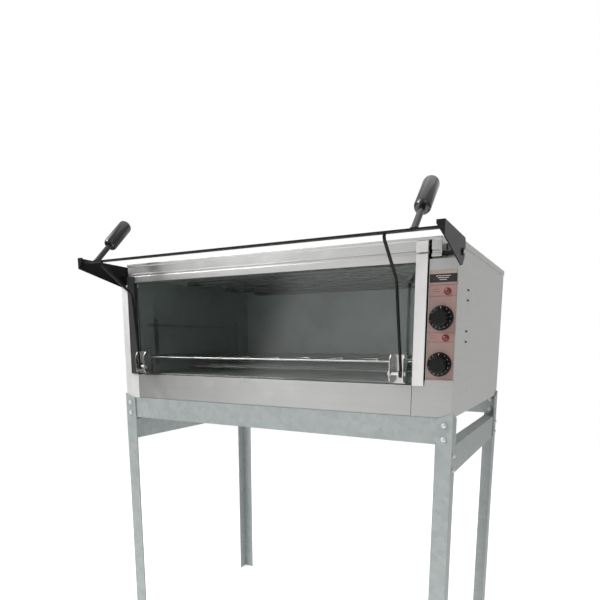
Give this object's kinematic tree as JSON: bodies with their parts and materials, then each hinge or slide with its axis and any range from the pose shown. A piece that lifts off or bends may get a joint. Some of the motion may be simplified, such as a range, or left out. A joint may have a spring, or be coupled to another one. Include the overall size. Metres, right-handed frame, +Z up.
{
  "type": "electric deck oven on stand",
  "caption": "Wide electric deck oven with a lift-up glass front worked by two levers, side controls and a bolted angle stand.",
  "frame": {"origin": "middle of the whole object's footprint, on the floor under the stand's feet", "axes": "+X to the right seen from the front, +Y to the back, +Z up"},
  "size_m": [1.0172, 0.7856, 1.3091],
  "materials": {
    "stainless_sheet": "satin sheet",
    "chamber_steel": "dull baked sheet",
    "galvanised_angle": "satin galvanised grey",
    "zinc_bolts": "zinc plated",
    "black_lever_steel": "satin black",
    "black_grip": "gloss black",
    "black_knob": "gloss black",
    "tempered_glass": "clear",
    "printed_label": "satin print",
    "red_lens": "clear red",
    "chromed_wire": "bright",
    "element_sheath": "heat darkened"
  },
  "bodies": {
    "cabinet": {"back_panel": "stainless_sheet", "base_pan": "stainless_sheet", "bolt_front_left_rail_1": "zinc_bolts", "bolt_front_left_rail_2": "zinc_bolts", "bolt_front_left_side_1": "zinc_bolts", "bolt_front_left_side_2": "zinc_bolts", "bolt_front_right_rail_1": "zinc_bolts", "bolt_front_right_rail_2": "zinc_bolts", "bolt_front_right_side_1": "zinc_bolts", "bolt_front_right_side_2": "zinc_bolts", "bolt_rear_left_rail_1": "zinc_bolts", "bolt_rear_left_rail_2": "zinc_bolts", "bolt_rear_left_side_1": "zinc_bolts", "bolt_rear_left_side_2": "zinc_bolts", "bolt_rear_right_rail_1": "zinc_bolts", "bolt_rear_right_rail_2": "zinc_bolts", "bolt_rear_right_side_1": "zinc_bolts", "bolt_rear_right_side_2": "zinc_bolts", "control_fascia": "stainless_sheet", "deck_plate": "chamber_steel", "element_lower": "element_sheath", "element_upper": "element_sheath", "frame_strip_left": "stainless_sheet", "frame_strip_right": "stainless_sheet", "label_plate": "printed_label", "leg_front_left": "galvanised_angle", "leg_front_right": "galvanised_angle", "leg_rear_left": "galvanised_angle", "leg_rear_right": "galvanised_angle", "liner_back": "chamber_steel", "liner_wrap": "chamber_steel", "lower_front_panel": "stainless_sheet", "pilot_lamp_lower": "red_lens", "pilot_lamp_upper": "red_lens", "rack_guide_left": "chromed_wire", "rack_guide_right": "chromed_wire", "rail_front": "galvanised_angle", "rail_left": "galvanised_angle", "rail_rear": "galvanised_angle", "rail_right": "galvanised_angle", "roof_panel": "stainless_sheet", "side_panel_left": "stainless_sheet", "side_panel_right": "stainless_sheet", "strip_cap": "stainless_sheet", "top_fascia": "stainless_sheet"},
    "glass_front": {"glass_pane": "tempered_glass", "clamp_bracket_left": "stainless_sheet", "clamp_bracket_right": "stainless_sheet", "strut_left": "black_lever_steel", "strut_right": "black_lever_steel", "lever_plate_left": "black_lever_steel", "lever_plate_right": "black_lever_steel", "lever_bar": "black_lever_steel", "handle_rod_left": "black_lever_steel", "handle_rod_right": "black_lever_steel", "grip_left": "black_grip", "grip_right": "black_grip"},
    "knob_upper_body": {"knob_upper": "black_knob"},
    "knob_lower_body": {"knob_lower": "black_knob"},
    "rack": {"wire_rack": "chromed_wire"}
  },
  "joints": [
    {"name": "glass_front_lift", "type": "hinge", "parent": "cabinet", "child": "glass_front", "pos_m": [-0.019, -0.2328, 1.16], "axis": [-1, 0, 0], "range_deg": [0, 80]},
    {"name": "knob_upper_turn", "type": "hinge", "parent": "cabinet", "child": "knob_upper_body", "pos_m": [0.4665, -0.2428, 1.0215], "axis": [0, 1, 0], "range_deg": [0, 290]},
    {"name": "knob_lower_turn", "type": "hinge", "parent": "cabinet", "child": "knob_lower_body", "pos_m": [0.4665, -0.2428, 0.9205], "axis": [0, 1, 0], "range_deg": [0, 290]},
    {"name": "rack_slide", "type": "slide", "parent": "cabinet", "child": "rack", "axis": [0, -1, 0], "range_m": [0, 0.02]}
  ]
}
